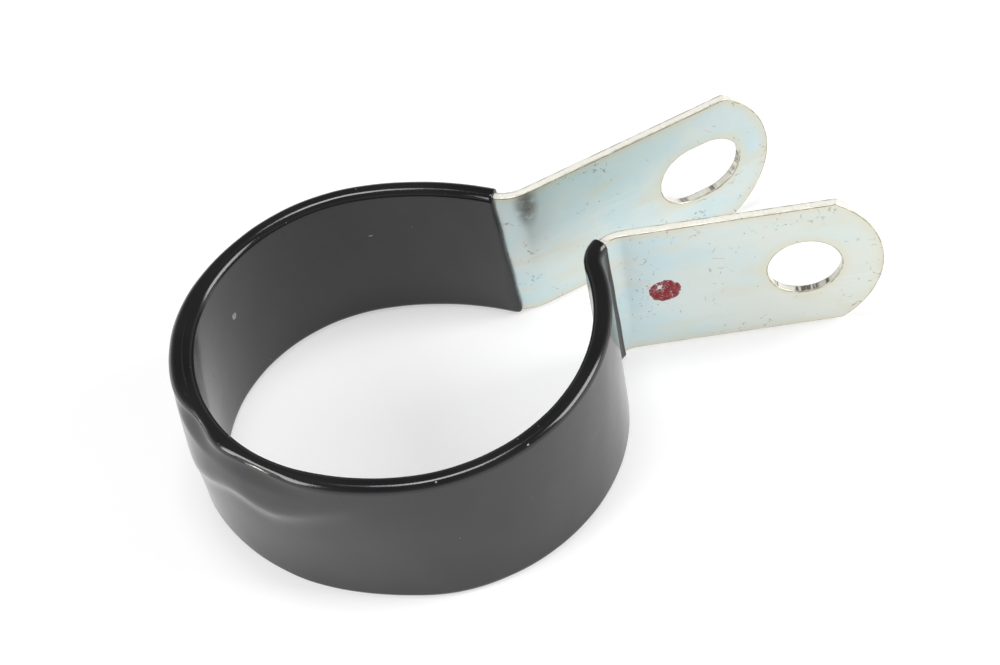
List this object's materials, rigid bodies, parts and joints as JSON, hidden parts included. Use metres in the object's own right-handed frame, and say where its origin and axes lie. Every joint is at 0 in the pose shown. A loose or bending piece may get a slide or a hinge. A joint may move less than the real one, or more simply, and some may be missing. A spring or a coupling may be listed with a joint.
{
  "type": "coated strap pipe clamp",
  "caption": "Springy bent-strap clamp for a round pipe, coated in soft plastic, with two bare splayed ears: one with a round bolt hole, one with a slot.",
  "frame": {"origin": "centre of the pipe seat at mid width, on the pipe axis", "axes": "+Z along the pipe axis, +X bisects the two ears, away from the pipe; the round-hole ear is on the -Y side"},
  "size_m": [0.104, 0.0586, 0.0266],
  "materials": {
    "zinc_plate": "bright zinc plate with a faint blue and yellow passivate, satin, scuffed",
    "soft_coating": "dipped black soft vinyl, semi-gloss, smooth",
    "red_paint": "thin dab of dark red paint, flaking"
  },
  "bodies": {
    "bow": {"strap_bow": "zinc_plate", "coating_bow": "soft_coating"},
    "front_arm": {"strap_front_arm": "zinc_plate", "coating_front_arm": "soft_coating", "paint_mark": "red_paint"},
    "rear_arm": {"strap_rear_arm": "zinc_plate", "coating_rear_arm": "soft_coating"}
  },
  "joints": [
    {"name": "front_flex", "type": "hinge", "parent": "bow", "child": "front_arm", "pos_m": [0.01378, -0.02772, 0], "axis": [0, 0, 1], "range_deg": [-4.8, 13.8], "stiffness_Nm_per_rad": 8.6},
    {"name": "rear_flex", "type": "hinge", "parent": "bow", "child": "rear_arm", "pos_m": [-0.01089, 0.02446, 0], "axis": [0, 0, 1], "range_deg": [-9.2, 3.2], "stiffness_Nm_per_rad": 12.9}
  ],
  "couplings": [
    {"joint": "rear_flex", "follows": "front_flex", "ratio": -0.66667}
  ]
}
